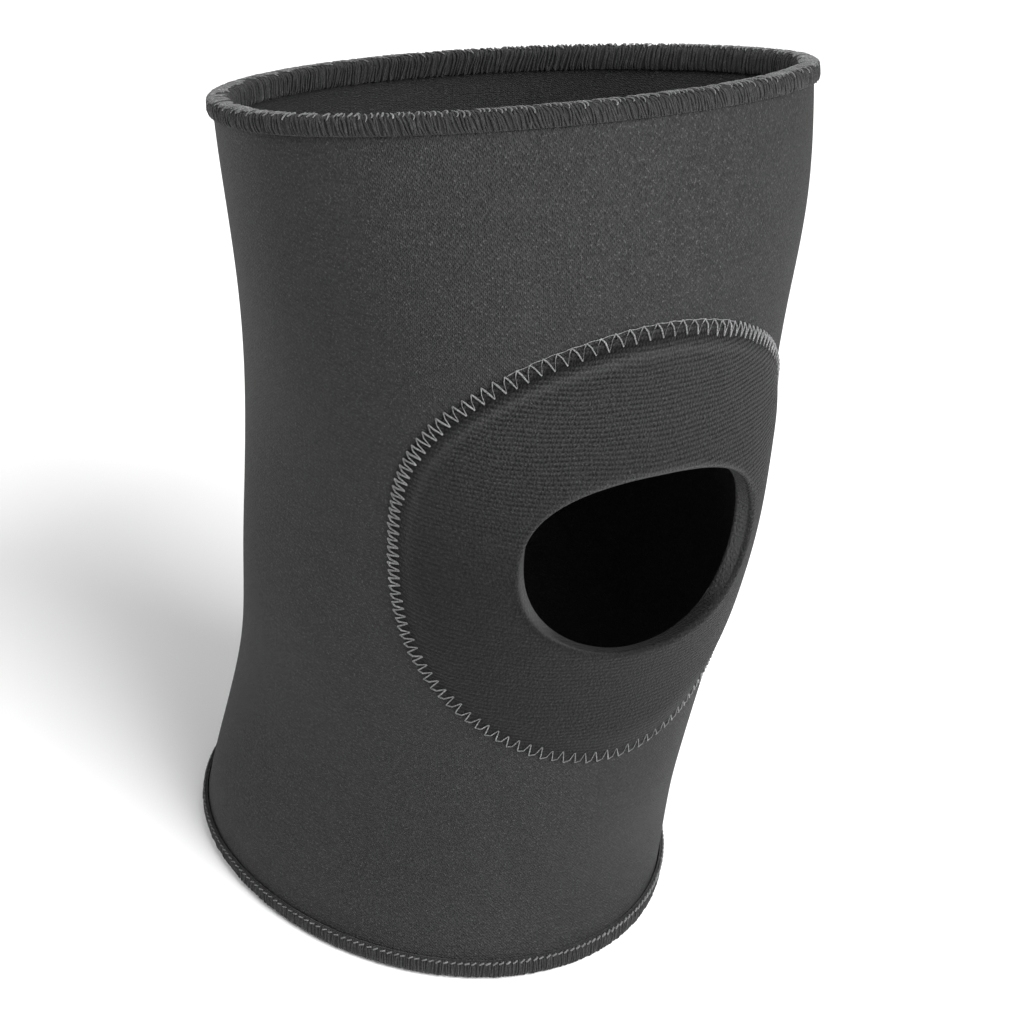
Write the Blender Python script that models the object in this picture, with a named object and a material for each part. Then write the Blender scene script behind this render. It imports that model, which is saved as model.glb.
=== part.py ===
"""Knee sleeve with an open kneecap, in metres, +Z up.

A bent neoprene tube stands on its calf edge. Its front, with the kneecap opening, faces -Y, and its
thigh end leans back towards +Y. A raised ring of fabric frames the opening, and a bound hem closes
the raw edge of the tube at each end.
"""
import math
from collections import namedtuple

import bmesh
import bpy
import numpy as np

# Sections of the sleeve's outer face, from the calf edge up to the thigh edge. Each is an oval in a
# plane that tilts back by some degrees. Height and shift place its widest line, and the two depths
# run from that line to the shin side and to the back of the knee.
Section = namedtuple("Section", "height shift tilt half_width front_depth back_depth")
SECTIONS = (
    Section(0.0000, 0.0000, 0.0, 0.0587, 0.0640, 0.0601),
    Section(0.0145, 0.0000, 0.0, 0.0603, 0.0602, 0.0538),
    Section(0.0460, 0.0000, 0.0, 0.0565, 0.0639, 0.0533),
    Section(0.0880, 0.0000, 0.0, 0.0604, 0.0654, 0.0524),
    Section(0.1215, 0.0000, 0.0, 0.0601, 0.0682, 0.0682),
    Section(0.1635, 0.0020, 1.5, 0.0672, 0.0556, 0.0729),
    Section(0.1860, 0.0057, 9.0, 0.0708, 0.0537, 0.0736),
    Section(0.2075, 0.0115, 20.0, 0.0738, 0.0465, 0.0694),
)
CALF_CENTRE_Y = -0.0056     # sets the middle of the whole sleeve over the origin
WALL = 0.0030               # neoprene with a jersey face on both sides
GAP = 0.0004                # left between touching pieces

# Hems: a U of binding over the raw edge, sizes measured square to the edge
HEM_HEIGHT = 0.0052
HEM_WALL = 0.0009
HEM_ROUND = 0.0009

# Ring round the kneecap opening, sizes measured along the sleeve's face
RING_CENTRE_HEIGHT = 0.1235
RING_HALF_WIDTH = 0.0640
RING_HALF_HEIGHT = 0.0559
RING_SQUARENESS = 1.9
HOLE_HALF_WIDTH = 0.0335
HOLE_HALF_HEIGHT = 0.0222
HOLE_SQUARENESS = 2.2
RING_EDGE = 0.0005          # thickness where it is sewn down
RING_CROWN = 0.0012         # thickness of the padded part
LIP_WALL = 0.0019           # the fabric turned in round the opening
LIP_ROUND = 0.0006          # the turned-in fabric's rounded foot

# Upper face of the ring: how far each line lies from its sewn edge towards the opening, and how high
# it rises, both as shares of the whole
Swell = namedtuple("Swell", "across rise")
SWELLS = (
    Swell(0.04, 0.70),
    Swell(0.11, 0.97),
    Swell(0.32, 1.00),
    Swell(0.56, 1.00),
    Swell(0.80, 1.00),
    Swell(0.95, 0.92),
    Swell(0.985, 0.60),
)
UNDERSIDE_LINES = (0.75, 0.56, 0.37, 0.18)

# Cutter of the opening: how far it stands clear of both faces, and the lines across each of its ends
CUT_MARGIN = 0.0060
CUT_SIZES = (0.1, 0.4, 0.7, 1.0)

# Fineness of the faceted surfaces
ROUND_SEGMENTS = 60
BODY_ROWS = 22
RING_SEGMENTS = 64
ARC_STEPS = 240
SLOPE_STEP = 0.001          # height over which a slope is measured

BODY_COLOUR = (0.045, 0.046, 0.048, 1.0)
RING_COLOUR = (0.038, 0.039, 0.041, 1.0)
HEM_COLOUR = (0.032, 0.033, 0.035, 1.0)


def natural_spline(knots, values):
    """Return a function that runs smoothly through the values, straight at its two ends."""
    knots = np.array(knots)
    values = np.array(values)
    gaps = np.diff(knots)
    slopes = np.diff(values) / gaps
    system = np.eye(len(knots))
    turns = np.zeros(len(knots))
    for i in range(1, len(gaps)):
        system[i, i - 1:i + 2] = gaps[i - 1], 2 * (gaps[i - 1] + gaps[i]), gaps[i]
        turns[i] = 6 * (slopes[i] - slopes[i - 1])
    bends = np.linalg.solve(system, turns)

    def value(at):
        i = np.clip(np.searchsorted(knots, at) - 1, 0, len(gaps) - 1)
        before = at - knots[i]
        after = knots[i + 1] - at
        curved = (bends[i] * after ** 3 + bends[i + 1] * before ** 3) / (6 * gaps[i])
        low = values[i] / gaps[i] - bends[i] * gaps[i] / 6
        high = values[i + 1] / gaps[i] - bends[i + 1] * gaps[i] / 6
        return curved + low * after + high * before

    return value


HEIGHTS = [section.height for section in SECTIONS]
TOP = HEIGHTS[-1]
SHAPE = {name: natural_spline(HEIGHTS, [getattr(section, name) for section in SECTIONS])
         for name in Section._fields[1:]}


def sleeve_points(height, angle, lift=0.0):
    """Points of the sleeve's outer face, lifted off it. Angle 0 is the shin side, and it turns to -X."""
    height, angle = np.broadcast_arrays(np.asarray(height, float), np.asarray(angle, float))
    width = SHAPE["half_width"](height)
    depth = np.where(np.cos(angle) > 0, SHAPE["front_depth"](height), SHAPE["back_depth"](height))
    tilt = np.radians(SHAPE["tilt"](height))
    out_x = np.sin(angle) / width
    out_y = np.cos(angle) / depth
    size = np.hypot(out_x, out_y)
    x = -width * np.sin(angle) - lift * out_x / size
    y = -depth * np.cos(angle) - lift * out_y / size
    shift = CALF_CENTRE_Y + SHAPE["shift"](height)
    return np.stack([x, shift + y * np.cos(tilt), height - y * np.sin(tilt)], axis=-1)


def arc_lengths(points):
    """Distance of each point of a line from the line's first point."""
    steps = np.linalg.norm(np.diff(points, axis=0), axis=1)
    return np.concatenate([[0.0], np.cumsum(steps)])


def face_points(across, up, lift):
    """Points at flat distances from the ring's centre, laid round the front of the sleeve."""
    heights = np.linspace(0.0, TOP, ARC_STEPS)
    climb = arc_lengths(sleeve_points(heights, 0.0))
    centre = np.interp(RING_CENTRE_HEIGHT, heights, climb)
    height = np.interp(centre + up, climb, heights)
    angles = np.linspace(-math.pi, math.pi, ARC_STEPS + 1)
    angle = []
    for level, distance in zip(height, across):
        girth = arc_lengths(sleeve_points(level, angles))
        angle.append(np.interp(distance, girth - girth[ARC_STEPS // 2], angles))
    return sleeve_points(height, np.array(angle), lift)


def oval(half_width, half_height, squareness):
    """Flat outline of the ring or of its opening, rounder at 2 and squarer above."""
    turn = (np.arange(RING_SEGMENTS) + 0.5) * 2 * math.pi / RING_SEGMENTS
    power = 2 / squareness
    across = half_width * np.sign(np.cos(turn)) * np.abs(np.cos(turn)) ** power
    up = half_height * np.sign(np.sin(turn)) * np.abs(np.sin(turn)) ** power
    return across, up


def ring_line(share):
    """Flat line round the ring, from its outer edge at share 0 to the opening at share 1."""
    outer = oval(RING_HALF_WIDTH, RING_HALF_HEIGHT, RING_SQUARENESS)
    inner = oval(HOLE_HALF_WIDTH, HOLE_HALF_HEIGHT, HOLE_SQUARENESS)
    return outer[0] + share * (inner[0] - outer[0]), outer[1] + share * (inner[1] - outer[1])


def ring_share(distance):
    """Share of the ring's width that a distance makes."""
    return distance / (RING_HALF_WIDTH - HOLE_HALF_WIDTH)


def turn_angles():
    """Angles of the points of a loop round the whole sleeve."""
    return np.arange(ROUND_SEGMENTS) * 2 * math.pi / ROUND_SEGMENTS


def height_from_calf(inset):
    """Height of the points that lie some distance above the calf edge, at each angle."""
    return np.full(ROUND_SEGMENTS, inset)


def height_from_thigh(inset):
    """Height of the points that lie some distance below the tilted thigh edge, at each angle."""
    tilt = math.radians(SECTIONS[-1].tilt)
    square = np.array([0.0, math.sin(tilt), math.cos(tilt)])
    rise = sleeve_points(TOP, turn_angles()) - sleeve_points(TOP - SLOPE_STEP, turn_angles())
    return TOP - inset * SLOPE_STEP / (rise @ square)


def loft(name, loops, closed=True):
    """Mesh of loops of points joined in turn, the last to the first unless the ends are filled."""
    mesh = bmesh.new()
    rings = [[mesh.verts.new(point) for point in points] for points in loops]
    following = rings[1:] + rings[:1] if closed else rings[1:]
    for first, second in zip(rings, following):
        for i in range(len(first)):
            mesh.faces.new((first[i - 1], first[i], second[i], second[i - 1]))
    if not closed:
        bmesh.ops.holes_fill(mesh, edges=mesh.edges[:], sides=0)
    bmesh.ops.recalc_face_normals(mesh, faces=mesh.faces[:])
    data = bpy.data.meshes.new(name)
    mesh.to_mesh(data)
    mesh.free()
    return data


def fabric(name, colour, roughness):
    """Matt knitted face in one colour."""
    material = bpy.data.materials.new(name)
    material.use_nodes = True
    shader = material.node_tree.nodes["Principled BSDF"]
    shader.inputs["Base Color"].default_value = colour
    shader.inputs["Roughness"].default_value = roughness
    shader.inputs["Metallic"].default_value = 0.0
    return material


def add_piece(collection, data, material):
    """Put a finished mesh into the sleeve as an object of its own."""
    data.materials.append(material)
    data.shade_smooth()
    data.set_sharp_from_angle(angle=math.radians(50))
    piece = bpy.data.objects.new(data.name, data)
    collection.objects.link(piece)
    return piece


def build_hole_cutter(cutters):
    """Plug along the wall's own normals, with room round the turned-in lip."""
    across, up = ring_line(1.0 - ring_share(LIP_WALL + GAP))
    profile = [(size, CUT_MARGIN) for size in CUT_SIZES]
    profile += [(size, -WALL - CUT_MARGIN) for size in reversed(CUT_SIZES)]
    loops = [face_points(across * size, up * size, lift) for size, lift in profile]
    cutter = bpy.data.objects.new("kneecap_hole", loft("kneecap_hole", loops, closed=False))
    cutter.hide_render = True
    cutter.display_type = "WIRE"
    cutters.objects.link(cutter)
    return cutter


def build_sleeve_body(collection, cutter):
    """The neoprene tube: its outer face up, its inner face down, closed at both edges."""
    low = height_from_calf(HEM_WALL + GAP)
    high = height_from_thigh(HEM_WALL + GAP)
    rows = np.linspace(0.0, 1.0, BODY_ROWS)
    outside = [sleeve_points(low + (high - low) * row, turn_angles()) for row in rows]
    inside = [sleeve_points(low + (high - low) * row, turn_angles(), -WALL) for row in rows[::-1]]
    body = add_piece(collection, loft("sleeve_body", outside + inside),
                     fabric("neoprene jersey", BODY_COLOUR, 0.85))
    cut = body.modifiers.new("kneecap hole", "BOOLEAN")
    cut.object = cutter
    cut.operation = "DIFFERENCE"
    cut.solver = "EXACT"
    return body


def build_kneecap_ring(collection):
    """Padded ring, thin at its sewn edge, crowned between, and turned in through the opening."""
    lip = 1.0 - ring_share(LIP_WALL)
    profile = [(0.0, GAP), (0.0, GAP + RING_EDGE)]
    profile += [(swell.across, GAP + swell.rise * RING_CROWN) for swell in SWELLS]
    profile += [(1.0, 0.0), (1.0, -WALL + LIP_ROUND), (1.0 - ring_share(LIP_ROUND), -WALL)]
    profile += [(lip, -WALL), (lip, GAP)]
    profile += [(share, GAP) for share in UNDERSIDE_LINES]
    loops = [face_points(*ring_line(share), lift) for share, lift in profile]
    return add_piece(collection, loft("kneecap_ring", loops), fabric("ribbed jersey", RING_COLOUR, 0.9))


def build_hem(collection, name, height_at):
    """Binding folded over one raw edge of the tube, flat along the middle of the edge."""
    outer_leg = GAP + HEM_WALL
    inner_leg = -WALL - GAP - HEM_WALL
    seat = HEM_WALL
    profile = (
        (GAP, HEM_HEIGHT),
        (GAP, seat),
        (-WALL - GAP, seat),
        (-WALL - GAP, HEM_HEIGHT),
        (inner_leg, HEM_HEIGHT - HEM_ROUND / 2),
        (inner_leg, HEM_ROUND),
        (inner_leg + HEM_ROUND, 0.0),
        (outer_leg - HEM_ROUND, 0.0),
        (outer_leg, HEM_ROUND),
        (outer_leg, HEM_HEIGHT - HEM_ROUND / 2),
    )
    loops = [sleeve_points(height_at(inset), turn_angles(), lift) for lift, inset in profile]
    return add_piece(collection, loft(name, loops), fabric(name + " thread", HEM_COLOUR, 0.8))


def build_sleeve():
    """Model every piece of the sleeve."""
    for item in list(bpy.data.objects):
        bpy.data.objects.remove(item)
    sleeve = bpy.data.collections.new("knee_sleeve")
    cutters = bpy.data.collections.new("cutters")
    bpy.context.scene.collection.children.link(sleeve)
    bpy.context.scene.collection.children.link(cutters)
    build_sleeve_body(sleeve, build_hole_cutter(cutters))
    build_kneecap_ring(sleeve)
    build_hem(sleeve, "calf_hem", height_from_calf)
    build_hem(sleeve, "thigh_hem", height_from_thigh)


build_sleeve()
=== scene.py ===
"""Cloth, padding and stitching of an open-kneecap knee sleeve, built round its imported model."""
import math
from collections import namedtuple

import bmesh
import bpy
import numpy as np
from bpy.props import FloatProperty, FloatVectorProperty, IntProperty, PointerProperty
from mathutils import Matrix, Vector


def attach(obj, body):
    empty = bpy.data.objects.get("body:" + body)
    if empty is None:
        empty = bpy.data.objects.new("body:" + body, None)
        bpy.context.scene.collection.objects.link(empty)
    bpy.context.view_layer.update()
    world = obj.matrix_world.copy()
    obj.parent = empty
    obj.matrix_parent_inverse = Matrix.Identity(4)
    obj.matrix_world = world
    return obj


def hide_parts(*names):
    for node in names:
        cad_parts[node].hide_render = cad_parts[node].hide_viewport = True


bl_info = {
    "name": "Knee sleeve",
    "version": (1, 0, 0),
    "blender": (4, 5, 0),
    "location": "3D View > Sidebar > Knee sleeve",
    "description": "Makes the cloth, the pad and the stitching of an open-kneecap knee sleeve",
    "category": "Object",
}

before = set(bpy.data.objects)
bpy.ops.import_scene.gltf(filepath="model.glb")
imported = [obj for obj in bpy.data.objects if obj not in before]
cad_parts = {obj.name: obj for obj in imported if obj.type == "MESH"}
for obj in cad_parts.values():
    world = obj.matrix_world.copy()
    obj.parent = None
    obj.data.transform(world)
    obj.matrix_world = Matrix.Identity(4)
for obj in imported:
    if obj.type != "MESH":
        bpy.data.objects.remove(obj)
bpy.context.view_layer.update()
BODY = "root"

# Sections of the sleeve's outer face, as in the solids, from the calf edge to the thigh edge
Section = namedtuple("Section", "height shift tilt half_width front_depth back_depth")
SECTIONS = (
    Section(0.0000, 0.0000, 0.0, 0.0587, 0.0640, 0.0601),
    Section(0.0145, 0.0000, 0.0, 0.0603, 0.0602, 0.0538),
    Section(0.0460, 0.0000, 0.0, 0.0565, 0.0639, 0.0533),
    Section(0.0880, 0.0000, 0.0, 0.0604, 0.0654, 0.0524),
    Section(0.1215, 0.0000, 0.0, 0.0601, 0.0682, 0.0682),
    Section(0.1635, 0.0020, 1.5, 0.0672, 0.0556, 0.0729),
    Section(0.1860, 0.0057, 9.0, 0.0708, 0.0537, 0.0736),
    Section(0.2075, 0.0115, 20.0, 0.0738, 0.0465, 0.0694),
)
CALF_CENTRE_Y = -0.0056
WALL = 0.0030   # neoprene with a jersey face on both sides
GAP = 0.0004    # left between touching pieces

# Ring round the kneecap opening and the hems, measured along the sleeve's face
RING_CENTRE_HEIGHT = 0.1235
RING_HALF_WIDTH = 0.0640
RING_HALF_HEIGHT = 0.0559
RING_SQUARENESS = 1.9
HOLE_HALF_WIDTH = 0.0335
HOLE_HALF_HEIGHT = 0.0222
HOLE_SQUARENESS = 2.2
RING_WIDTH = RING_HALF_WIDTH - HOLE_HALF_WIDTH
HEM_HEIGHT = 0.0052
LIP_WALL = 0.0019
ARC_STEPS = 360   # steps of the tables that turn flat distances into places on the sleeve

# Soft folds of the cloth: where each lies on the sleeve, its lean, its size and its depth
Fold = namedtuple("Fold", "height angle lean half_length half_width depth")
FOLDS = (
    Fold(0.182, 24.0, 0.0, 0.014, 0.0040, 0.0006),
    Fold(0.040, 21.0, 26.0, 0.028, 0.0060, 0.0007),
)

# The photographed view: turned from the front, raised and rolled in degrees, its distance and aim,
# the camera's step right and up, and its focal length in pixels of the square image
VIEW_AZIMUTH = -37.9
VIEW_ELEVATION = 31.8
VIEW_ROLL = 10.5
VIEW_DISTANCE = 0.685
VIEW_AIM = Vector((0.0, CALF_CENTRE_Y, 0.105))
VIEW_SHIFT = (0.00535, -0.00743)
VIEW_FOCAL_PIXELS = 2796.0
IMAGE_PIXELS = 1024
SENSOR_MM = 36.0


def natural_spline(knots, values):
    """Return a function that runs smoothly through the values, straight at its two ends."""
    knots = np.array(knots)
    values = np.array(values)
    gaps = np.diff(knots)
    slopes = np.diff(values) / gaps
    system = np.eye(len(knots))
    turns = np.zeros(len(knots))
    for i in range(1, len(gaps)):
        system[i, i - 1:i + 2] = gaps[i - 1], 2 * (gaps[i - 1] + gaps[i]), gaps[i]
        turns[i] = 6 * (slopes[i] - slopes[i - 1])
    bends = np.linalg.solve(system, turns)

    def value(at):
        i = np.clip(np.searchsorted(knots, at) - 1, 0, len(gaps) - 1)
        before = at - knots[i]
        after = knots[i + 1] - at
        curved = (bends[i] * after ** 3 + bends[i + 1] * before ** 3) / (6 * gaps[i])
        low = values[i] / gaps[i] - bends[i] * gaps[i] / 6
        high = values[i + 1] / gaps[i] - bends[i + 1] * gaps[i] / 6
        return curved + low * after + high * before

    return value


HEIGHTS = [section.height for section in SECTIONS]
TOP = HEIGHTS[-1]
SHAPE = {name: natural_spline(HEIGHTS, [getattr(section, name) for section in SECTIONS])
         for name in Section._fields[1:]}
MEAN_RADIUS = 0.065   # of the sleeve, for its flat pattern


def fold_relief(height, angle):
    """How far the soft folds press the cloth in."""
    relief = 0.0
    for fold in FOLDS:
        across = (angle - math.radians(fold.angle)) * MEAN_RADIUS
        along = height - fold.height
        lean = math.radians(fold.lean)
        side = (across * math.cos(lean) - along * math.sin(lean)) / fold.half_width
        run = (across * math.sin(lean) + along * math.cos(lean)) / fold.half_length
        relief = relief - fold.depth * np.exp(-side ** 2) * np.exp(-run ** 2)
    return relief


def sleeve_points(height, angle, lift=0.0):
    """Points of the sleeve's outer face, lifted off it. Angle 0 is the shin side, and it turns to -X."""
    height, angle = np.broadcast_arrays(np.asarray(height, float), np.asarray(angle, float))
    lift = lift + fold_relief(height, angle)
    width = SHAPE["half_width"](height)
    depth = np.where(np.cos(angle) > 0, SHAPE["front_depth"](height), SHAPE["back_depth"](height))
    tilt = np.radians(SHAPE["tilt"](height))
    out_x = np.sin(angle) / width
    out_y = np.cos(angle) / depth
    size = np.hypot(out_x, out_y)
    x = -width * np.sin(angle) - lift * out_x / size
    y = -depth * np.cos(angle) - lift * out_y / size
    shift = CALF_CENTRE_Y + SHAPE["shift"](height)
    return np.stack([x, shift + y * np.cos(tilt), height - y * np.sin(tilt)], axis=-1)


def arc_lengths(points):
    """Distance of each point of a line from the line's first point."""
    steps = np.linalg.norm(np.diff(points, axis=0), axis=1)
    return np.concatenate([[0.0], np.cumsum(steps)])


def make_face_map():
    """Tables that turn flat distances from the ring's centre into height and angle."""
    heights = np.linspace(0.0, TOP, ARC_STEPS)
    climb = arc_lengths(sleeve_points(heights, 0.0))
    climb = climb - np.interp(RING_CENTRE_HEIGHT, heights, climb)
    angles = np.linspace(-math.pi, math.pi, ARC_STEPS + 1)
    girths = []
    for level in heights:
        girth = arc_lengths(sleeve_points(level, angles))
        girths.append(girth - girth[ARC_STEPS // 2])
    return heights, climb, angles, np.array(girths)


FACE_HEIGHTS, FACE_CLIMB, FACE_ANGLES, FACE_GIRTHS = make_face_map()


def face_place(across, up):
    """Height and angle of points given by flat distances from the ring's centre."""
    height = np.interp(up, FACE_CLIMB, FACE_HEIGHTS)
    row = np.clip(height / TOP * (ARC_STEPS - 1), 0, ARC_STEPS - 1.001)
    low = row.astype(int)
    part = row - low
    angle = np.empty_like(height)
    for i, (below, share, distance) in enumerate(zip(low, part, across)):
        girth = FACE_GIRTHS[below] * (1 - share) + FACE_GIRTHS[below + 1] * share
        angle[i] = np.interp(distance, girth, FACE_ANGLES)
    return height, angle


def face_points(across, up, lift):
    """Points at flat distances from the ring's centre, laid round the front of the sleeve."""
    height, angle = face_place(across, up)
    return sleeve_points(height, angle, lift)


def oval(turn, half_width, half_height, squareness):
    """Flat outline of the ring or of its opening, rounder at 2 and squarer above."""
    power = 2 / squareness
    across = half_width * np.sign(np.cos(turn)) * np.abs(np.cos(turn)) ** power
    up = half_height * np.sign(np.sin(turn)) * np.abs(np.sin(turn)) ** power
    return across, up


def ring_place(turn, share, outside=0.0):
    """Flat place on the ring: share 0 is its sewn edge, 1 the opening, and outside is past the edge."""
    outer = oval(turn, RING_HALF_WIDTH + outside, RING_HALF_HEIGHT + outside, RING_SQUARENESS)
    inner = oval(turn, HOLE_HALF_WIDTH, HOLE_HALF_HEIGHT, HOLE_SQUARENESS)
    return outer[0] + share * (inner[0] - outer[0]), outer[1] + share * (inner[1] - outer[1])


def height_under_edge(end, inset, angle):
    """Height of the points that lie some distance inside the calf or the thigh edge."""
    if end == "calf":
        return inset + 0.0 * angle
    step = 0.001
    tilt = math.radians(SECTIONS[-1].tilt)
    square = np.array([0.0, math.sin(tilt), math.cos(tilt)])
    rise = sleeve_points(TOP, angle) - sleeve_points(TOP - step, angle)
    return TOP - inset * step / (rise @ square)


def edge_angles(end, distances, total):
    """Angles of points spaced by real distance along an edge."""
    angles = np.linspace(0.0, 2 * math.pi, 4 * ARC_STEPS)
    level = 0.0 if end == "calf" else TOP
    along = arc_lengths(sleeve_points(level, angles))
    return np.interp(np.asarray(distances) * along[-1] / total, along, angles)


def edge_length(end):
    """Length of the calf or the thigh edge."""
    level = 0.0 if end == "calf" else TOP
    return arc_lengths(sleeve_points(level, np.linspace(0.0, 2 * math.pi, 4 * ARC_STEPS)))[-1]


def rolled_sheet(columns, rows, place):
    """A grid laid over a surface by place, with its flat pattern kept, welded where it meets itself."""
    mesh = bmesh.new()
    flat = mesh.loops.layers.uv.new("flat")
    # Painted shade on each point, and painted highlight where it is below 0, for the jersey material
    painted_shade = mesh.verts.layers.float.new("painted_shade")
    bmesh.ops.create_grid(mesh, x_segments=columns, y_segments=rows, size=0.5)
    shares = np.array([vertex.co[:2] for vertex in mesh.verts]) + 0.5
    # place gives the points, their flat pattern and their painted shade
    points, pattern, painted_shades = place(shares[:, 0], shares[:, 1])
    for vertex, point, depth in zip(mesh.verts, points, painted_shades):
        vertex.co = point
        vertex[painted_shade] = depth
    for face in mesh.faces:
        for loop in face.loops:
            loop[flat].uv = pattern[loop.vert.index]
    bmesh.ops.remove_doubles(mesh, verts=mesh.verts[:], dist=1e-6)
    bmesh.ops.recalc_face_normals(mesh, faces=mesh.faces[:])
    return mesh


def mesh_data(name, mesh):
    """A mesh made from a bmesh, which is used up."""
    data = bpy.data.meshes.new(name)
    mesh.to_mesh(data)
    mesh.free()
    return data


def add_object(name, data):
    """Put a new object into the scene."""
    made = bpy.data.objects.new(name, data)
    bpy.context.scene.collection.objects.link(made)
    return made


def finish_piece(name, mesh, materials, replaced=()):
    """Turn a bmesh or a mesh into a finished piece that rides with the sleeve."""
    data = mesh_data(name, mesh) if isinstance(mesh, bmesh.types.BMesh) else mesh
    data.name = name
    data.materials.clear()
    for material in materials:
        data.materials.append(material)
    data.shade_smooth()
    piece = add_object(name, data)
    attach(piece, BODY)
    if replaced:
        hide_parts(*replaced)
    return piece


def strands_mesh(strands, thickness):
    """Mesh of many short threads, each a list of points with its own width at each point."""
    curve = bpy.data.curves.new("strands", "CURVE")
    curve.dimensions = "3D"
    curve.bevel_depth = thickness / 2
    curve.bevel_resolution = 1
    curve.use_fill_caps = True
    for points, widths, closed in strands:
        spline = curve.splines.new("POLY")
        spline.points.add(len(points) - 1)
        flat = np.column_stack([points, np.ones(len(points))]).ravel()
        spline.points.foreach_set("co", flat)
        spline.points.foreach_set("radius", widths)
        spline.use_cyclic_u = closed
    holder = add_object("strands", curve)
    graph = bpy.context.evaluated_depsgraph_get()
    data = bpy.data.meshes.new_from_object(holder.evaluated_get(graph))
    bpy.data.objects.remove(holder)
    bpy.data.curves.remove(curve)
    return data


class Nodes:
    """Short calls for building one material's nodes."""

    def __init__(self, name):
        self.material = bpy.data.materials.new(name)
        self.material.use_nodes = True
        self.tree = self.material.node_tree
        self.shader = self.tree.nodes["Principled BSDF"]

    def add(self, kind, inputs=None, **settings):
        node = self.tree.nodes.new("ShaderNode" + kind)
        for key, value in settings.items():
            setattr(node, key, value)
        for key, value in (inputs or {}).items():
            self.feed(node.inputs[key], value)
        return node

    def feed(self, socket, value):
        if isinstance(value, bpy.types.NodeSocket):
            self.tree.links.new(value, socket)
        else:
            socket.default_value = value

    def math(self, operation, first, second=0.0, third=0.0):
        node = self.add("Math", {0: first, 1: second, 2: third}, operation=operation)
        return node.outputs[0]

    def blend(self, share, first, second):
        node = self.add("Mix", {0: share, 6: first, 7: second}, data_type="RGBA")
        return node.outputs[2]

    def noise(self, vector, scale, detail=2.0, roughness=0.5):
        node = self.add("TexNoise", {"Vector": vector, "Scale": scale, "Detail": detail,
                                     "Roughness": roughness})
        return node.outputs["Fac"]

    def ramp(self, value, low, high):
        node = self.add("MapRange", {0: value, 1: low, 2: high, 3: 0.0, 4: 1.0})
        return node.outputs[0]

    def finish(self, colour, height, depth, levels):
        """Wire the shader's colour and bump, and set its even levels on their own sockets."""
        self.feed(self.shader.inputs["Base Color"], colour)
        bump = self.add("Bump", {"Height": height, "Distance": depth})
        self.feed(self.shader.inputs["Normal"], bump.outputs[0])
        for name, level in levels.items():
            self.shader.inputs[name].default_value = level
        return self.material


def grey(value):
    """A neutral charcoal with a trace of blue."""
    return (value, value * 1.005, value * 1.02, 1.0)


def loop_relief(nodes, wale, course):
    """Relief of plain jersey: columns of small V shapes on the flat pattern."""
    across = nodes.math("DIVIDE", nodes.split.outputs[0], wale)
    across = nodes.math("ADD", across, nodes.math("MULTIPLY", nodes.drift, 2.4))
    along = nodes.math("DIVIDE", nodes.split.outputs[1], course)
    along = nodes.math("ADD", along, nodes.math("MULTIPLY", nodes.drift, -1.7))
    along = nodes.math("ADD", along, nodes.math("MULTIPLY", nodes.waver, 1.6))
    column = nodes.math("ABSOLUTE", nodes.math("SUBTRACT", nodes.math("FRACT", across), 0.5))
    slant = nodes.math("ADD", along, nodes.math("MULTIPLY", column, 1.1))
    loops = nodes.math("SINE", nodes.math("MULTIPLY", slant, 2 * math.pi))
    valley = nodes.math("SINE", nodes.math("MULTIPLY", column, 2 * math.pi))
    return nodes.math("MULTIPLY_ADD", loops, 0.5, nodes.math("MULTIPLY", valley, 0.5))


def rib_relief(nodes, wale, course):
    """Relief of ribbed jersey: rows of short dashes, each row half a dash on from the last."""
    row = nodes.math("DIVIDE", nodes.split.outputs[1], course)
    row = nodes.math("ADD", row, nodes.math("MULTIPLY", nodes.drift, 2.0))
    ridge = nodes.math("SINE", nodes.math("MULTIPLY", row, 2 * math.pi))
    shift = nodes.math("MULTIPLY", nodes.math("FLOOR", row), 0.5)
    dash = nodes.math("ADD", nodes.math("DIVIDE", nodes.split.outputs[0], wale), shift)
    dash = nodes.math("ADD", dash, nodes.math("MULTIPLY", nodes.waver, 2.2))
    dash = nodes.math("SINE", nodes.math("MULTIPLY", dash, 2 * math.pi))
    return nodes.math("MULTIPLY", ridge, nodes.math("MULTIPLY_ADD", dash, 0.40, 0.60))


# A knit: its relief and loop size, bump depth, contrast, weave against fuzz, sheen, and the levels
# of the flat pattern between which its colour changes by the first share, as painted light or painted
# shade, and its weave by the second share
Knit = namedtuple("Knit", "relief wale course depth contrast weave sheen start end tone_share weave_share")


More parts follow.
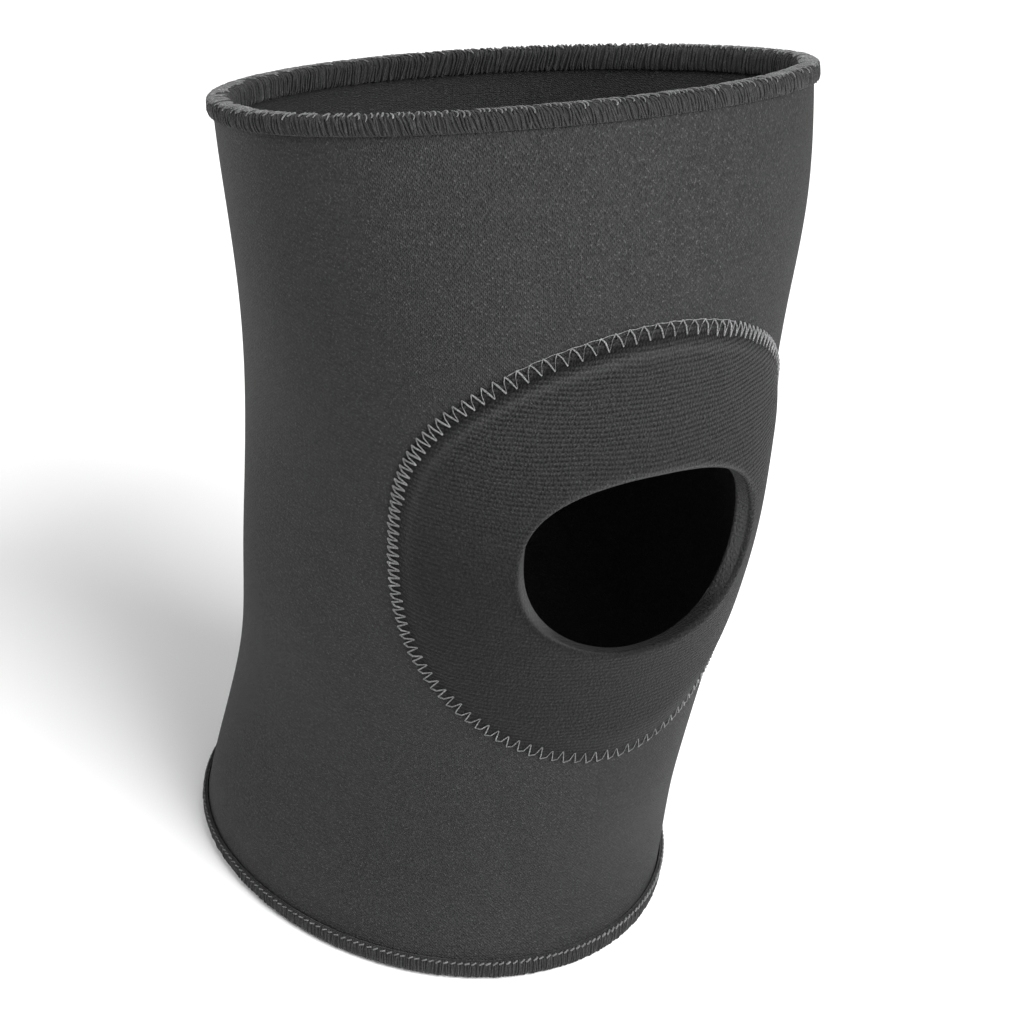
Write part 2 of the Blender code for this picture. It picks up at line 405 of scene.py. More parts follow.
def jersey_material(name, shade, knit):
    """Knitted cloth on the piece's own flat pattern: loops, painted glints on stray fibres, faint clouding,
    and painted light and shade.
    """
    nodes = Nodes(name)
    pattern = nodes.add("UVMap", uv_map="flat").outputs[0]
    nodes.split = nodes.add("SeparateXYZ", {0: pattern})
    nodes.drift = nodes.noise(pattern, 60.0, 2.0)
    nodes.waver = nodes.noise(pattern, 420.0, 1.0)
    place = nodes.add("TexCoord").outputs["Object"]
    loops = knit.relief(nodes, knit.wale, knit.course)
    fibres = nodes.noise(pattern, 1250.0, 3.0, 0.6)
    hairs = nodes.noise(pattern, 2900.0, 2.0, 0.6)
    clouds = nodes.noise(place, 24.0, 3.0, 0.55)
    patches = nodes.noise(pattern, 260.0, 2.0, 0.5)
    level = nodes.ramp(nodes.split.outputs[1], knit.start, knit.end)
    weave = nodes.math("MULTIPLY_ADD", level, knit.weave * (knit.weave_share - 1.0), knit.weave)
    height = nodes.math("MULTIPLY_ADD", fibres, 1.6, nodes.math("MULTIPLY", loops, weave))
    height = nodes.math("MULTIPLY_ADD", hairs, 0.7, height)
    # Painted glints: a mask of stray fibres that are coloured much lighter
    light = nodes.math("MULTIPLY", nodes.ramp(hairs, 0.52, 0.74), nodes.ramp(fibres, 0.45, 0.62))
    tone = nodes.blend(nodes.ramp(height, 0.45, 1.95), grey(shade * (1 - knit.contrast)),
                       grey(shade * (1 + knit.contrast)))
    tone = nodes.blend(nodes.math("MULTIPLY", nodes.ramp(clouds, 0.30, 0.70), 0.22), tone, grey(shade * 0.5))
    tone = nodes.blend(nodes.math("MULTIPLY", nodes.ramp(patches, 0.42, 0.66), 0.16), tone, grey(shade * 1.8))
    # The painted glints, nearly five times lighter than the cloth
    tone = nodes.blend(nodes.math("MULTIPLY", light, 0.85), tone, grey(shade * 4.8))
    # Painted light or painted shade: between the knit's two levels its colour is scaled by its share
    share = nodes.math("MULTIPLY_ADD", level, knit.tone_share - 1.0, 1.0)
    tone = nodes.add("VectorMath", {0: tone, 3: share}, operation="SCALE").outputs[0]
    # Painted shade where the piece's shade attribute is above 0, painted highlight where it is below 0
    painted_shade = nodes.add("Attribute", attribute_name="painted_shade").outputs["Fac"]
    tone = nodes.blend(nodes.ramp(painted_shade, 0.0, 1.0), tone, grey(shade * 0.15))
    tone = nodes.blend(nodes.ramp(painted_shade, 0.0, -1.0), tone, grey(shade * 5.0))
    return nodes.finish(tone, height, knit.depth, {
        "Roughness": 0.66, "Specular IOR Level": 0.09,
        "Sheen Weight": knit.sheen, "Sheen Roughness": 0.4, "Sheen Tint": grey(0.75)})


def thread_material(name, shade, sheen):
    """Spun thread: fine twist, fuzz and a lighter tone where fibres catch the light."""
    nodes = Nodes(name)
    place = nodes.add("TexCoord").outputs["Object"]
    twist = nodes.noise(place, 3200.0, 2.0, 0.6)
    uneven = nodes.noise(place, 420.0, 2.0, 0.5)
    height = nodes.math("MULTIPLY_ADD", uneven, 0.5, twist)
    fibre = nodes.ramp(twist, 0.35, 0.70)
    colour = nodes.blend(fibre, grey(shade * 0.45), grey(shade * 1.3))
    bright = nodes.math("MULTIPLY", nodes.ramp(uneven, 0.52, 0.72), fibre)
    colour = nodes.blend(nodes.math("MULTIPLY", bright, 0.7), colour, grey(shade * 2.6))
    return nodes.finish(colour, height, 0.00022, {
        "Roughness": 0.72, "Specular IOR Level": 0.22,
        "Sheen Weight": sheen, "Sheen Roughness": 0.5, "Sheen Tint": grey(0.8)})


def binding_material(name, shade):
    """The bed of thread under the overlock loops: dark, dense and uneven."""
    nodes = Nodes(name)
    place = nodes.add("TexCoord").outputs["Object"]
    coarse = nodes.noise(place, 700.0, 3.0, 0.65)
    fine = nodes.noise(place, 2600.0, 2.0, 0.6)
    height = nodes.math("MULTIPLY_ADD", fine, 0.5, coarse)
    colour = nodes.blend(nodes.ramp(height, 0.45, 1.0), grey(shade * 0.5), grey(shade * 1.6))
    return nodes.finish(colour, height, 0.0004, {
        "Roughness": 0.85, "Specular IOR Level": 0.15, "Sheen Weight": 0.15})


def plain_material(name, colour, roughness):
    """Evenly coloured stage surface."""
    nodes = Nodes(name)
    nodes.shader.inputs["Base Color"].default_value = colour
    nodes.shader.inputs["Roughness"].default_value = roughness
    nodes.shader.inputs["Specular IOR Level"].default_value = 0.0
    return nodes.material


class KneeSleeveCloth(bpy.types.PropertyGroup):
    """Colours and knit of the sleeve's cloth."""

    outer_shade: FloatProperty(name="Outer shade", description="Reflectance of the outer jersey",
                               default=0.0255, min=0.0, max=1.0, subtype="FACTOR")
    inner_shade: FloatProperty(name="Inner shade", description="Reflectance of the inner jersey",
                               default=0.008, min=0.0, max=1.0, subtype="FACTOR")
    pad_shade: FloatProperty(name="Pad shade", description="Reflectance of the ribbed jersey",
                             default=0.0205, min=0.0, max=1.0, subtype="FACTOR")
    wale: FloatProperty(name="Wale", description="Width of one column of knitted loops",
                        default=0.0009, min=0.0001, unit="LENGTH", subtype="DISTANCE")
    course: FloatProperty(name="Course", description="Height of one row of knitted loops",
                          default=0.0008, min=0.0001, unit="LENGTH", subtype="DISTANCE")
    rib: FloatProperty(name="Rib", description="Pitch of the ribs across the pad",
                       default=0.0011, min=0.0001, unit="LENGTH", subtype="DISTANCE")
    columns: IntProperty(name="Columns", description="Faces round the sleeve", default=220, min=24)
    rows: IntProperty(name="Rows", description="Faces up each side of the wall", default=110, min=12)


class KneeSleevePad(bpy.types.PropertyGroup):
    """Form of the ring round the kneecap opening."""

    crown: FloatProperty(name="Crown", description="Thickness of the pad between its edges",
                         default=0.0015, unit="LENGTH", subtype="DISTANCE")
    edge: FloatProperty(name="Edge", description="Thickness of the pad where it is sewn down",
                        default=0.0002, unit="LENGTH", subtype="DISTANCE")
    rise: FloatProperty(name="Rise", description="Width over which the pad swells from its seam",
                        default=0.0080, unit="LENGTH", subtype="DISTANCE")
    margin: FloatProperty(name="Margin", description="Width of the flat edge that is sewn down",
                          default=0.0013, unit="LENGTH", subtype="DISTANCE")
    fill: FloatProperty(name="Fill", description="How full the pad is, from slack to tight",
                        default=0.9, min=0.0, max=1.0, subtype="FACTOR")
    lip_round: FloatProperty(name="Lip round", description="Radius of the pad's turn into the opening",
                             default=0.0013, unit="LENGTH", subtype="DISTANCE")


class KneeSleeveStitching(bpy.types.PropertyGroup):
    """Sizes and shades of the threads."""

    hem_thread: FloatProperty(name="Hem thread", description="Thickness of the overlock thread",
                              default=0.00066, unit="LENGTH", subtype="DISTANCE")
    thigh_pitch: FloatProperty(name="Thigh pitch", description="Distance from stitch to stitch",
                               default=0.0019, unit="LENGTH", subtype="DISTANCE")
    calf_pitch: FloatProperty(name="Calf pitch", description="Distance from stitch to stitch",
                              default=0.0015, unit="LENGTH", subtype="DISTANCE")
    ring_thread: FloatProperty(name="Ring thread", description="Thickness of the zigzag thread",
                               default=0.00045, unit="LENGTH", subtype="DISTANCE")
    zigzag_pitch: FloatProperty(name="Zigzag pitch", description="Zigzag pitch where it is closest",
                                default=0.0019, unit="LENGTH", subtype="DISTANCE")
    hem_shade: FloatProperty(name="Hem shade", description="Reflectance of the overlock thread",
                             default=0.024, min=0.0, max=1.0, subtype="FACTOR")
    ring_shade: FloatProperty(name="Ring shade", description="Reflectance of the zigzag thread",
                              default=0.17, min=0.0, max=1.0, subtype="FACTOR")


class KneeSleeveStage(bpy.types.PropertyGroup):
    """Floor and light."""

    floor_colour: FloatVectorProperty(name="Floor", description="Colour of the floor", size=4,
                                      default=(0.97, 0.97, 0.97, 1.0), subtype="COLOR")
    floor_size: FloatProperty(name="Floor size", description="Length of the floor's sides",
                              default=6.0, unit="LENGTH", subtype="DISTANCE")
    key_power: FloatProperty(name="Key", description="Power of the large light at the front right",
                             default=46.0, unit="POWER")
    rim_power: FloatProperty(name="Rim", description="Power of the light behind the left side",
                             default=11.0, unit="POWER")
    world_strength: FloatProperty(name="Surroundings", description="Brightness of the white room",
                                  default=0.34, min=0.0)


# The sheet of cloth: how far its raw edges stop short of the sleeve's ends, and the share of the
# sheet that turns over each raw edge
RAW_EDGE = 0.0013
EDGE_SHARE = 0.02

# Heights on the inside between which the lining's colour grows lighter downwards, as painted light deep
# in the hollow, and by how much
LINING_DARK = 0.175
LINING_LIGHT = 0.110
LINING_PAINTED_LIGHT_GAIN = 14.0


def cloth_place(across, along):
    """Points of the wall: up its outer face, over the thigh edge, down its inner face and back under."""
    angle = across * 2 * math.pi - math.pi
    top = height_under_edge("thigh", RAW_EDGE, angle)
    outside = along < 0.5
    rise = (np.where(outside, along, 1 - along) / (0.5 - EDGE_SHARE)).clip(0, 1)
    over = np.where(outside, along - (0.5 - EDGE_SHARE), 0.0).clip(0, EDGE_SHARE) / EDGE_SHARE
    back = np.where(outside, 0.0, along - (1 - EDGE_SHARE)).clip(0, EDGE_SHARE) / EDGE_SHARE
    lift = np.where(outside, -WALL * over, -WALL * (1 - back))
    height = RAW_EDGE + (top - RAW_EDGE) * rise
    pattern = np.stack([(angle + math.pi) * MEAN_RADIUS, height], axis=-1)
    return sleeve_points(height, angle, lift), pattern, np.zeros(len(angle))


class KNEESLEEVE_OT_cloth(bpy.types.Operator):
    """Make the sleeve's neoprene wall with its jersey faces and the kneecap opening"""

    bl_idname = "knee_sleeve.cloth"
    bl_label = "Sleeve cloth"

    def execute(self, context):
        cloth = context.scene.knee_sleeve_cloth
        mesh = rolled_sheet(cloth.columns, 2 * cloth.rows, cloth_place)
        for face in mesh.faces:
            face.material_index = int(is_inner(face))
        plain = Knit(relief=loop_relief, wale=cloth.wale, course=cloth.course, depth=0.00034, contrast=0.55,
                     weave=0.40, sheen=0.0, start=0.0, end=0.21, tone_share=1.0, weave_share=1.0)
        # The lining's painted light: its colour grows lighter deeper in the hollow
        hollow = plain._replace(depth=0.00018, start=LINING_DARK, end=LINING_LIGHT, tone_share=LINING_PAINTED_LIGHT_GAIN)
        outer = jersey_material("outer jersey", cloth.outer_shade, plain)
        lining = jersey_material("inner jersey", cloth.inner_shade, hollow)
        piece = finish_piece("sleeve_cloth", mesh, [outer, lining], ["sleeve_body"])
        cut_opening(piece)
        return {"FINISHED"}


def is_inner(face):
    """True if a face of the wall looks into the hollow."""
    centre = face.calc_center_median()
    middle = CALF_CENTRE_Y + float(SHAPE["shift"](min(centre.z, TOP)))
    return face.normal.dot(Vector((centre.x, centre.y - middle, 0.0))) < 0


# The block that cuts the opening: its points round, its rings as shares of its outline, and how far
# it reaches past both faces of the cloth
CUTTER_STEPS = 160
CUTTER_RINGS = (0.1, 0.4, 0.7, 1.0)
CUTTER_REACH = 0.006


def cut_opening(piece):
    """Cut the kneecap opening through the wall, a little wider than the lip that lines it."""
    turn = (np.arange(CUTTER_STEPS) + 0.5) * 2 * math.pi / CUTTER_STEPS
    across, up = ring_place(turn, 1.0 - (LIP_WALL + GAP) / RING_WIDTH)
    profile = [(size, CUTTER_REACH) for size in CUTTER_RINGS]
    profile += [(size, -WALL - CUTTER_REACH) for size in reversed(CUTTER_RINGS)]
    mesh = bmesh.new()
    rings = []
    for size, lift in profile:
        points = face_points(across * size, up * size, lift)
        ring = bmesh.ops.create_circle(mesh, cap_ends=False, segments=len(points), radius=1.0)["verts"]
        for vertex, point in zip(ring, points):
            vertex.co = point
        rings.append(list({edge for vertex in ring for edge in vertex.link_edges}))
    for first, second in zip(rings, rings[1:]):
        bmesh.ops.bridge_loops(mesh, edges=first + second)
    bmesh.ops.holes_fill(mesh, edges=mesh.edges[:], sides=0)
    bmesh.ops.recalc_face_normals(mesh, faces=mesh.faces[:])
    data = mesh_data("opening_cutter", mesh)
    cutter = add_object("opening_cutter", data)
    cut = piece.modifiers.new("opening", "BOOLEAN")
    cut.object = cutter
    cut.operation = "DIFFERENCE"
    cut.solver = "EXACT"
    graph = bpy.context.evaluated_depsgraph_get()
    result = bpy.data.meshes.new_from_object(piece.evaluated_get(graph))
    piece.modifiers.clear()
    old = piece.data
    piece.data = result
    result.name = piece.name
    bpy.data.meshes.remove(old)
    bpy.data.objects.remove(cutter)
    bpy.data.meshes.remove(data)


# Rows of the pad from its sewn edge inwards: the share of its face where the rows grow wider, and
# the rows before it, after it, round the brink, down the lip and back along the underside
FACE_BREAK = 0.32
FACE_ROWS = (28, 20)
BRINK_ROWS = 8
LIP_ROWS = 10
BACK_ROWS = 12
LIP_FOOT = 0.0006
PAD_COLUMNS = 360
PAD_START = 0.01

# Parts of the ring, by turn in degrees: 0 is the left in the photographed view, 90 the top. Each
# leans the foot of the lip inwards by a distance, or puts painted shade on the lip, or painted highlight
# below 0.
Part = namedtuple("Part", "centre spread amount")
LIP_LEANS = (Part(-25, 32, 0.0012), Part(-105, 44, -0.0017))
LIP_PAINTED_SHADES = (Part(-92, 27, 1.0), Part(-30, 30, -0.40), Part(-168, 40, -0.60))

# How far onto the brink the lip's painted shade and painted highlight reach, more where the part says
# so, and their soft start
LIP_PAINT_REACH = 0.0001
LIP_PAINT_EXTRA = Part(-92, 27, 0.0006)
LIP_PAINT_START = 0.0004

# Painted shade on the far side of the pad's face: distances from the brink at which it is full, fades and
# ends
FAR_PAINTED_SHADE = Part(-160, 40, 0.62)
FAR_FULL = 0.0045
FAR_FADE = 0.014
FAR_END = 0.034

# Lines of painted shade along the pad's face: the part of the ring, how far the line lies from the seam
# or from the brink, its width, and how much painted shade it puts on the cloth, or painted highlight below 0
Line = namedtuple("Line", "centre spread distance width amount")
SEAM_PAINTED_LINES = (
    Line(75, math.inf, 0.0008, 0.0011, 0.30),
    Line(75, 42, 0.0008, 0.0011, 0.60),
    Line(75, 42, 0.0034, 0.0012, -0.20),
)
BRINK_PAINTED_LINES = (
    Line(105, 50, 0.0013, 0.0008, -0.40),
    Line(-30, 30, 0.0018, 0.0006, 0.50),
    Line(-30, 30, 0.0005, 0.0005, -0.22),
)


def sector(turn, part):
    """Amount of a part of the ring: whole at its middle, fading over its spread in degrees."""
    fade = (np.cos(turn - math.radians(part.centre)) - 1) / math.radians(part.spread) ** 2
    return part.amount * np.exp(fade)


def painted_line_shade(turn, distance, lines):
    """Painted shade that the lines give at some distance from the seam or from the brink; below 0 it is
    painted highlight.
    """
    return sum(sector(turn, line) * np.exp(-((distance - line.distance) / line.width) ** 2) for line in lines)


def pad_lift(pad, share):
    """Height of the pad's upper face over the sleeve, from its sewn edge to the brink of the opening."""
    swell = np.clip((share * RING_WIDTH - pad.margin) / pad.rise, 0, 1)
    swell = np.sin(swell * math.pi / 2)
    return GAP + pad.edge + (pad.crown - pad.edge) * swell


def pad_profile(pad):
    """Closed section of the pad as share and height, and the rows of its brink and of its lip's end."""
    top = GAP + pad.crown
    radius = pad.lip_round
    before, after = FACE_ROWS
    face = np.linspace(0.0, FACE_BREAK, before)
    face = np.append(face, np.linspace(FACE_BREAK, 1.0 - radius / RING_WIDTH, after)[1:])
    profile = [(0.0, GAP), (0.0, GAP + pad.edge * 0.5)]
    profile += [(share, float(pad_lift(pad, share))) for share in face]
    for step in range(1, BRINK_ROWS + 1):
        bend = step / BRINK_ROWS * math.pi / 2
        share = 1.0 - radius / RING_WIDTH * (1 - math.sin(bend))
        profile.append((share, top - radius * (1 - math.cos(bend))))
    brink_row = len(profile) - 1
    profile += [(1.0, depth) for depth in np.linspace(top - radius, -WALL + LIP_FOOT, LIP_ROWS)[1:]]
    profile += [(1.0 - LIP_FOOT / RING_WIDTH, -WALL)]
    lip_row = len(profile) - 1
    lip = 1.0 - LIP_WALL / RING_WIDTH
    profile += [(lip, -WALL), (lip, GAP)]
    profile += [(share, GAP) for share in np.linspace(lip, 0.0, BACK_ROWS)[1:]]
    return np.array(profile), brink_row, lip_row


class KNEESLEEVE_OT_pad(bpy.types.Operator):
    """Make the ribbed pad that rings the kneecap opening and turns in through it"""

    bl_idname = "knee_sleeve.pad"
    bl_label = "Kneecap pad"

    def execute(self, context):
        pad = context.scene.knee_sleeve_pad
        cloth = context.scene.knee_sleeve_cloth
        profile, brink_row, lip_row = pad_profile(pad)
        rows = len(profile) - 1
        drop = arc_lengths(profile * np.array([RING_WIDTH, 1.0]))
        brink_height = profile[brink_row, 1]

        def place(across, along):
            turn = across * 2 * math.pi + PAD_START
            at = along * rows
            share, lift = (np.interp(at, np.arange(rows + 1), profile[:, i]) for i in range(2))
            fallen = np.interp(at, np.arange(rows + 1), drop)
            sunk = np.clip((brink_height - lift) / WALL, 0, 1) * (at < lip_row + 0.5)
            lean = sum(sector(turn, part) for part in LIP_LEANS) / RING_WIDTH * sunk
            points = face_points(*ring_place(turn, share + lean), lift)
            pattern = np.stack(ring_place(turn, fallen / RING_WIDTH), axis=-1)
            before = drop[brink_row] - fallen
            reach = LIP_PAINT_REACH + sector(turn, LIP_PAINT_EXTRA)
            wall = ((reach - before) / LIP_PAINT_START).clip(0, 1) * (at < lip_row + 0.5)
            # Painted shade and painted highlight: lines along the seam and the brink, a darker far side and
            # the lip's tones
            shade = painted_line_shade(turn, share * RING_WIDTH - pad.margin, SEAM_PAINTED_LINES)
            shade = shade + painted_line_shade(turn, before, BRINK_PAINTED_LINES)
            far_painted_shade_mask = (before / FAR_FULL).clip(0, 1) * ((FAR_END - before) / FAR_FADE).clip(0, 1)
            shade = shade + sector(turn, FAR_PAINTED_SHADE) * far_painted_shade_mask * (at < lip_row)
            shade = shade + wall * sum(sector(turn, part) for part in LIP_PAINTED_SHADES)
            return points, pattern, shade.clip(-1, 1)

        mesh = rolled_sheet(PAD_COLUMNS, rows, place)
        # The ribbed jersey is coloured darker towards the bottom of the ring, as painted shade on its lower
        # half
        knit = Knit(relief=rib_relief, wale=cloth.wale, course=cloth.rib, depth=0.00042, contrast=0.75,
                    weave=0.85, sheen=0.05, start=0.034, end=-0.006, tone_share=0.56, weave_share=0.30)
        ribbed = jersey_material("ribbed jersey", cloth.pad_shade, knit)
        piece = finish_piece("kneecap_pad", mesh, [ribbed], ["kneecap_ring"])
        return {"FINISHED"}


# Section of a hem: its middle and half width across the wall, how far it turns under on each side,
# its squareness, how far its crest lies inside the sleeve's end, and the share by which its outer
# side is shorter and its inner side longer than the rest
HEM_MIDDLE = -WALL / 2
HEM_HALF = 0.0026
HEM_UNDER = 0.9
HEM_POWER = 0.62
HEM_CRESTS = {"calf": 0.0006, "thigh": 0.0004}
HEM_LEANS = {"calf": 0.0, "thigh": 0.20}
HEM_ROWS = 26
HEM_COLUMNS = 300

# The channel in a hem that holds the raw edge: its depth, and its room on both sides of the wall
CHANNEL_INSET = 0.0011
CHANNEL_ROOM = 0.0003


def hem_line(end, turn, grow):
    """Lift and inset on the round of a hem: 0 is its outermost line, pi its innermost."""
    crest = HEM_CRESTS[end]
    side = np.sign(np.cos(turn)) * np.abs(np.cos(turn)) ** HEM_POWER
    rise = np.sign(np.sin(turn)) * np.abs(np.sin(turn)) ** HEM_POWER
    foot = math.sin(HEM_UNDER) ** HEM_POWER
    centre = (HEM_HEIGHT + foot * crest) / (1 + foot)
    drop = (centre - crest) * (1.0 - HEM_LEANS[end] * side) * (1 - rise)
    return HEM_MIDDLE + (HEM_HALF + grow) * side, crest + drop - grow * rise


def hem_points(end, distance, turn, grow, total):
    """Points over a hem, by distance along the edge and turn over it."""
    angle = edge_angles(end, distance, total)
    lift, inset = hem_line(end, turn, grow)
    return sleeve_points(height_under_edge(end, inset, angle), angle, lift)


def hem_mesh(end):
    """Closed binding over an edge: its round from the outer foot to the inner, then its channel."""
    total = edge_length(end)
    lifts, insets = hem_line(end, np.linspace(-HEM_UNDER, math.pi + HEM_UNDER, HEM_ROWS + 1), 0.0)
    inner, outer = -WALL - CHANNEL_ROOM, CHANNEL_ROOM
    insets = np.concatenate([insets, [insets[-1], CHANNEL_INSET, CHANNEL_INSET, insets[0]], insets[:1]])
    lifts = np.concatenate([lifts, [inner, inner, outer, outer], lifts[:1]])
    rows = len(lifts) - 1

    def place(across, along):
        lift, inset = (np.interp(along * rows, np.arange(rows + 1), column) for column in (lifts, insets))
        angle = edge_angles(end, across * total, total)
        points = sleeve_points(height_under_edge(end, inset, angle), angle, lift)
        pattern = np.stack([across * total, along * 0.02], axis=-1)
        return points, pattern, np.zeros(len(points))

    return rolled_sheet(HEM_COLUMNS, rows, place)


class KNEESLEEVE_OT_hems(bpy.types.Operator):
    """Make the bound edge at the calf and at the thigh"""

    bl_idname = "knee_sleeve.hems"
    bl_label = "Hems"

    def execute(self, context):
        bed = binding_material("hem binding", context.scene.knee_sleeve_stitching.hem_shade * 0.6)
        for end in ("calf", "thigh"):
            finish_piece(end + "_binding", hem_mesh(end), [bed], [end + "_hem"])
        return {"FINISHED"}


# The three turns of thread in each overlock stitch: where each starts, as a share of the stitch, its
# thickness as a share of the thread's, and how far it stands off the hem
Loop = namedtuple("Loop", "start size lift")
LOOPS = (
    Loop(0.0, 1.0, 0.00006),
    Loop(0.35, 0.80, 0.00002),
    Loop(0.68, 0.88, 0.00004),
)
LOOP_UNDER = 0.8        # how far a turn goes under the hem's feet, as a share of the hem's own
LOOSE_LIFT = 0.00042    # how far the looper and needle threads stand off the hem
KNOT_PITCH = 0.6        # pitches as shares of the overlock's
NEEDLE_PITCH = 1.15
KNOTS_MISSING = 0.12
NEEDLE_TURN = -0.52 * HEM_UNDER


def stitch_steps(end, pitch):
    """Length of an edge, the stitches that go round it, and the length of each."""
    total = edge_length(end)
    count = round(total / pitch)
    return total, count, total / count


def overlock_strands(end, pitch, jitter):
    """Threads of the overlock stitch: three uneven turns of thread over the edge at each stitch."""
    total, count, step = stitch_steps(end, pitch)
    under = HEM_UNDER * LOOP_UNDER
    over = np.linspace(-under, math.pi + under, 15)
    run = (over - over[0]) / (over[-1] - over[0])
    strands = []
    for i in range(count):
        for loop in LOOPS:
            start = (i + loop.start + jitter.uniform(-0.10, 0.10)) * step
            slant = step * jitter.uniform(0.7, 1.5)
            wave = 0.14 * step * np.sin(over * jitter.uniform(1.5, 3.0) + jitter.uniform(0, 6))
            width = loop.size * (0.92 + jitter.uniform(-0.16, 0.16, len(over)))
            rise = loop.lift + jitter.uniform(-0.00006, 0.00010)
            rise = rise + jitter.uniform(-0.00006, 0.00006, len(over))
            points = hem_points(end, (start + slant * run + wave) % total, over, rise, total)
            strands.append((points, width, False))
    return strands


def knot_strands(end, pitch, jitter):
    """Hooks of lighter looper thread that cross the crest of the hem, with a few of them missing."""
    total, count, step = stitch_steps(end, pitch)
    length = np.linspace(-0.5, 0.5, 9)
    strands = []
    for i in range(count):
        if jitter.uniform() < KNOTS_MISSING:
            continue
        middle = math.pi * jitter.uniform(0.30, 0.56)
        reach = math.pi * jitter.uniform(0.24, 0.44)
        curl = step * jitter.uniform(1.2, 2.6)
        along = (i + jitter.uniform(0.1, 0.5)) * step + length ** 2 * curl + length * step * 0.5
        points = hem_points(end, along % total, middle + reach * length, LOOSE_LIFT, total)
        strands.append((points, (1.0 - 1.4 * length ** 2) * jitter.uniform(0.65, 1.15), False))
    return strands


def needle_strands(end, pitch, jitter):
    """Row of short stitches just under the hem's upper line, clearest round the shin side."""
    total, count, step = stitch_steps(end, pitch)
    length = np.linspace(-0.5, 0.5, 5)
    strands = []
    for i in range(count):
        at = (i + 0.5 + jitter.uniform(-0.08, 0.08)) * step
        clear = 0.55 + 0.65 * (0.5 + 0.5 * math.cos(at / total * 2 * math.pi + 0.35)) ** 2
        along = at + length * step * 0.66
        turn = NEEDLE_TURN + (0.16 + jitter.uniform(-0.05, 0.12)) * length
        points = hem_points(end, along % total, turn, LOOSE_LIFT - 0.0006 * length ** 2, total)
        strands.append((points, np.full(len(length), clear * jitter.uniform(0.85, 1.1)), False))
    return strands


class KNEESLEEVE_OT_overlock(bpy.types.Operator):
    """Make the overlock threads over both hems, hooks of looper thread over the thigh hem and the needle
    thread at the calf hem's foot
    """

    bl_idname = "knee_sleeve.overlock"
    bl_label = "Overlock stitches"

    def execute(self, context):
        stitching = context.scene.knee_sleeve_stitching
        yarn = thread_material("overlock thread", stitching.hem_shade, 0.10)
        pale = thread_material("looper thread", stitching.ring_shade * 0.8, 0.20)
        pitches = {"calf": stitching.calf_pitch, "thigh": stitching.thigh_pitch}
        for seed, (end, pitch) in enumerate(pitches.items()):
            jitter = np.random.RandomState(seed)
            strands = overlock_strands(end, pitch, jitter)
            size = stitching.hem_thread * pitch / stitching.thigh_pitch
            finish_piece(end + "_overlock", strands_mesh(strands, size), [yarn])
        jitter = np.random.RandomState(5)
        knots = knot_strands("thigh", stitching.thigh_pitch * KNOT_PITCH, jitter)
        finish_piece("thigh_knots", strands_mesh(knots, stitching.ring_thread), [pale])
        needle = needle_strands("calf", stitching.calf_pitch * NEEDLE_PITCH, jitter)
        data = strands_mesh(needle, stitching.ring_thread)
        finish_piece("calf_needle_row", data, [pale])
        return {"FINISHED"}


# The zigzag round the ring, by turn in degrees: pitch and thickness as shares of the plain ones, and
# how much of the thread that runs back out can be seen
Stitch = namedtuple("Stitch", "turn pitch thick back")
STITCHES = (
    Stitch(-180, 1.10, 1.00, 0.8),
    Stitch(-128, 1.00, 1.10, 1.0),
    Stitch(-104, 1.60, 0.55, 0.5),
    Stitch(-50, 1.55, 0.75, 1.0),
    Stitch(-20, 1.05, 1.00, 1.0),
    Stitch(20, 1.00, 1.00, 0.9),
    Stitch(45, 1.30, 0.95, 0.4),
    Stitch(70, 1.80, 0.85, 0.15),
    Stitch(98, 1.85, 0.85, 0.15),
    Stitch(114, 1.10, 1.05, 0.7),
    Stitch(180, 1.10, 1.00, 0.8),
)


def stitch_value(turn, name):
    """A column of the stitch table, at any turn round the ring."""
    degrees = (np.degrees(turn) + 180) % 360 - 180
    return np.interp(degrees, [row.turn for row in STITCHES], [getattr(row, name) for row in STITCHES])


def zigzag_turns(pitch):
    """Places of the zigzag's stitches round the ring."""
    turns = np.linspace(0.0, 2 * math.pi, 2000)
    along = arc_lengths(face_points(*ring_place(turns, 0.0), 0.0))
    counted = np.cumsum(np.diff(along) / (pitch * stitch_value(turns[1:], "pitch")))
    counted = np.concatenate([[0.0], counted])
    total = round(counted[-1])
    return np.interp(np.arange(total) / total * counted[-1], counted, turns)


# How far the zigzag reaches past the pad's edge and onto the pad, and where the loose thread along
# the edge shows, in degrees
ZIGZAG_OUT = 0.0010
ZIGZAG_IN = 0.0021
EDGE_THREAD = (55, 112)


